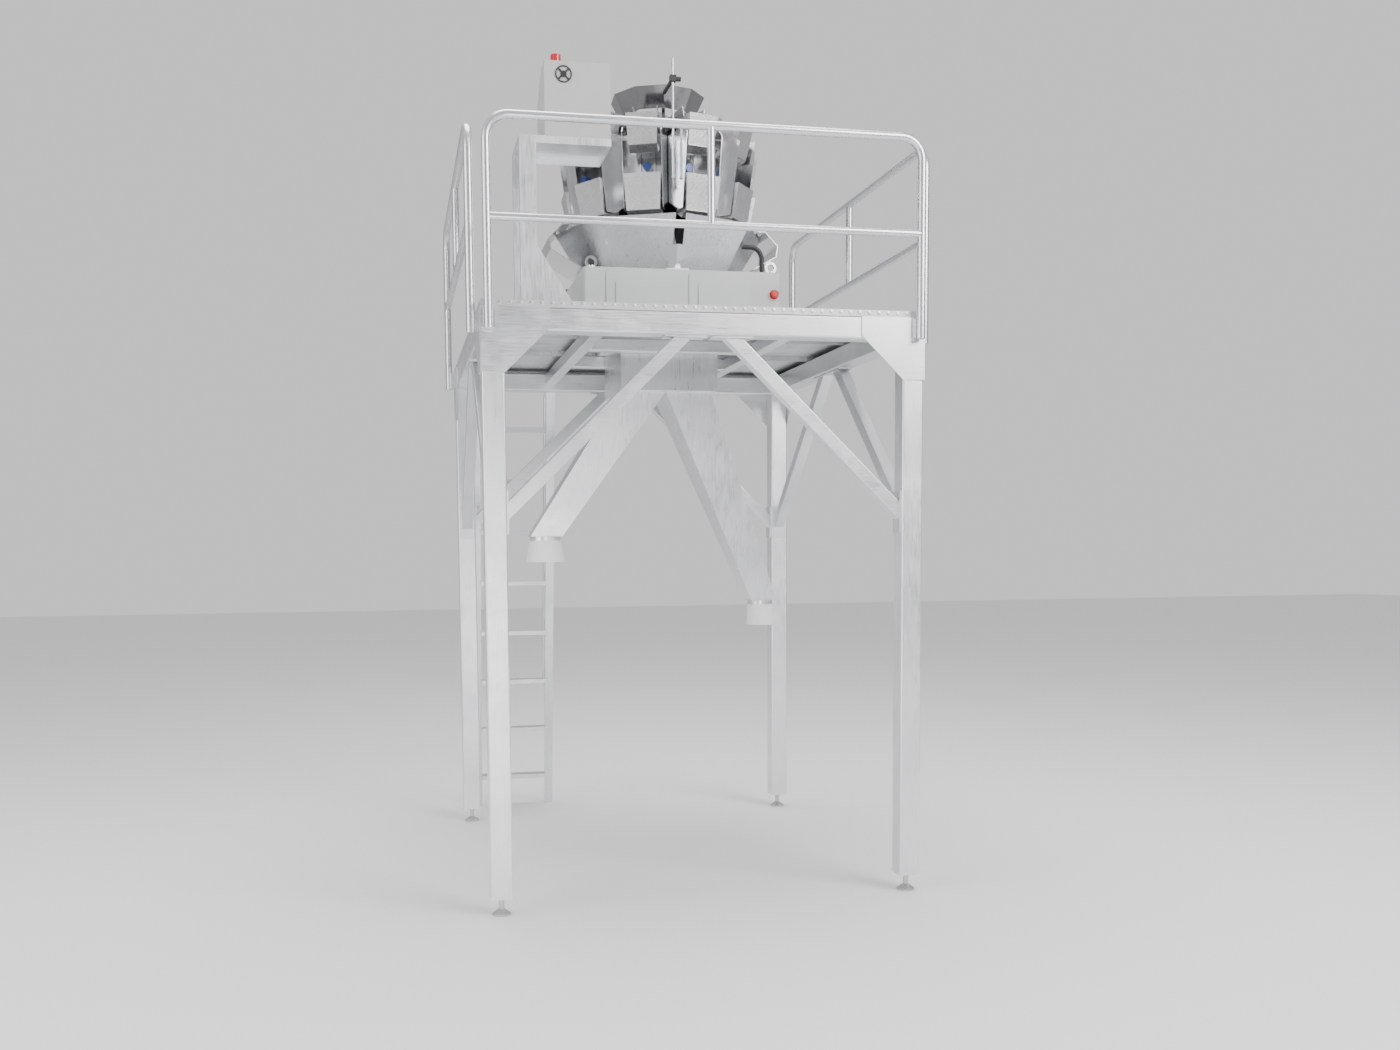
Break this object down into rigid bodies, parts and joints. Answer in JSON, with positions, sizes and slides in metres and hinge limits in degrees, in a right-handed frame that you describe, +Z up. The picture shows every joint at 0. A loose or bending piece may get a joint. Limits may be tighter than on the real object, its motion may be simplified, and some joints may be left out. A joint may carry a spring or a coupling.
{
  "type": "multihead weigher on a support platform",
  "caption": "Multihead weigher on a free-standing stainless support platform with guard rails, ladder, branching discharge chutes and a console on its own stand.",
  "frame": {"origin": "on the floor, under the middle of the overall bounding box", "axes": "+X to the viewer's right, +Y to the back, where the ladder is, +Z up"},
  "size_m": [2.1338, 2.6842, 4],
  "materials": {
    "satin_steel": "satin ground stainless steel",
    "deck_plate": "matt deck sheet",
    "mirror_steel": "mirror polished stainless steel",
    "embossed_steel": "dimpled stainless sheet",
    "grey_paint": "light grey satin paint",
    "white_silicone": "matt white silicone",
    "black_plastic": "matt black plastic",
    "blue_paint": "blue satin paint",
    "red_plastic": "glossy red plastic"
  },
  "bodies": {
    "root": {"base_covers": "grey_paint", "base_housing": "grey_paint", "beacon": "red_plastic", "beams_front_back": "satin_steel", "beams_sides": "satin_steel", "braces_front_back": "satin_steel", "braces_sides": "satin_steel", "cabinet_stand": "satin_steel", "chute_left": "satin_steel", "chute_right": "satin_steel", "collecting_box": "satin_steel", "conduit": "black_plastic", "control_cabinet": "grey_paint", "deck_front_back": "deck_plate", "deck_joists": "satin_steel", "deck_sides": "deck_plate", "deck_trimmers": "satin_steel", "drive_units": "satin_steel", "drum": "satin_steel", "drum_pillars": "satin_steel", "emergency_stop": "red_plastic", "fan_guard": "satin_steel", "feed_hoppers": "embossed_steel", "feeder_pans": "embossed_steel", "funnel_left": "embossed_steel", "funnel_right": "satin_steel", "gap_brackets": "satin_steel", "gate_linkages": "satin_steel", "gate_motors": "blue_paint", "gussets_front_back": "satin_steel", "gussets_sides": "satin_steel", "hanger_frames": "satin_steel", "hopper_gates": "embossed_steel", "infeed_ring": "mirror_steel", "ladder_handrails": "satin_steel", "ladder_stiles": "satin_steel", "ladder_treads": "satin_steel", "legs": "satin_steel", "levelling_feet": "black_plastic", "lifting_eyes": "satin_steel", "outlet_sleeves": "white_silicone", "rail_front": "satin_steel", "rail_sides": "satin_steel", "rod_clamp": "black_plastic", "sensor_rod": "satin_steel", "side_scoops": "satin_steel", "top_cone": "mirror_steel", "vibrators": "satin_steel", "weigh_hoppers": "embossed_steel"}
  },
  "joints": []
}
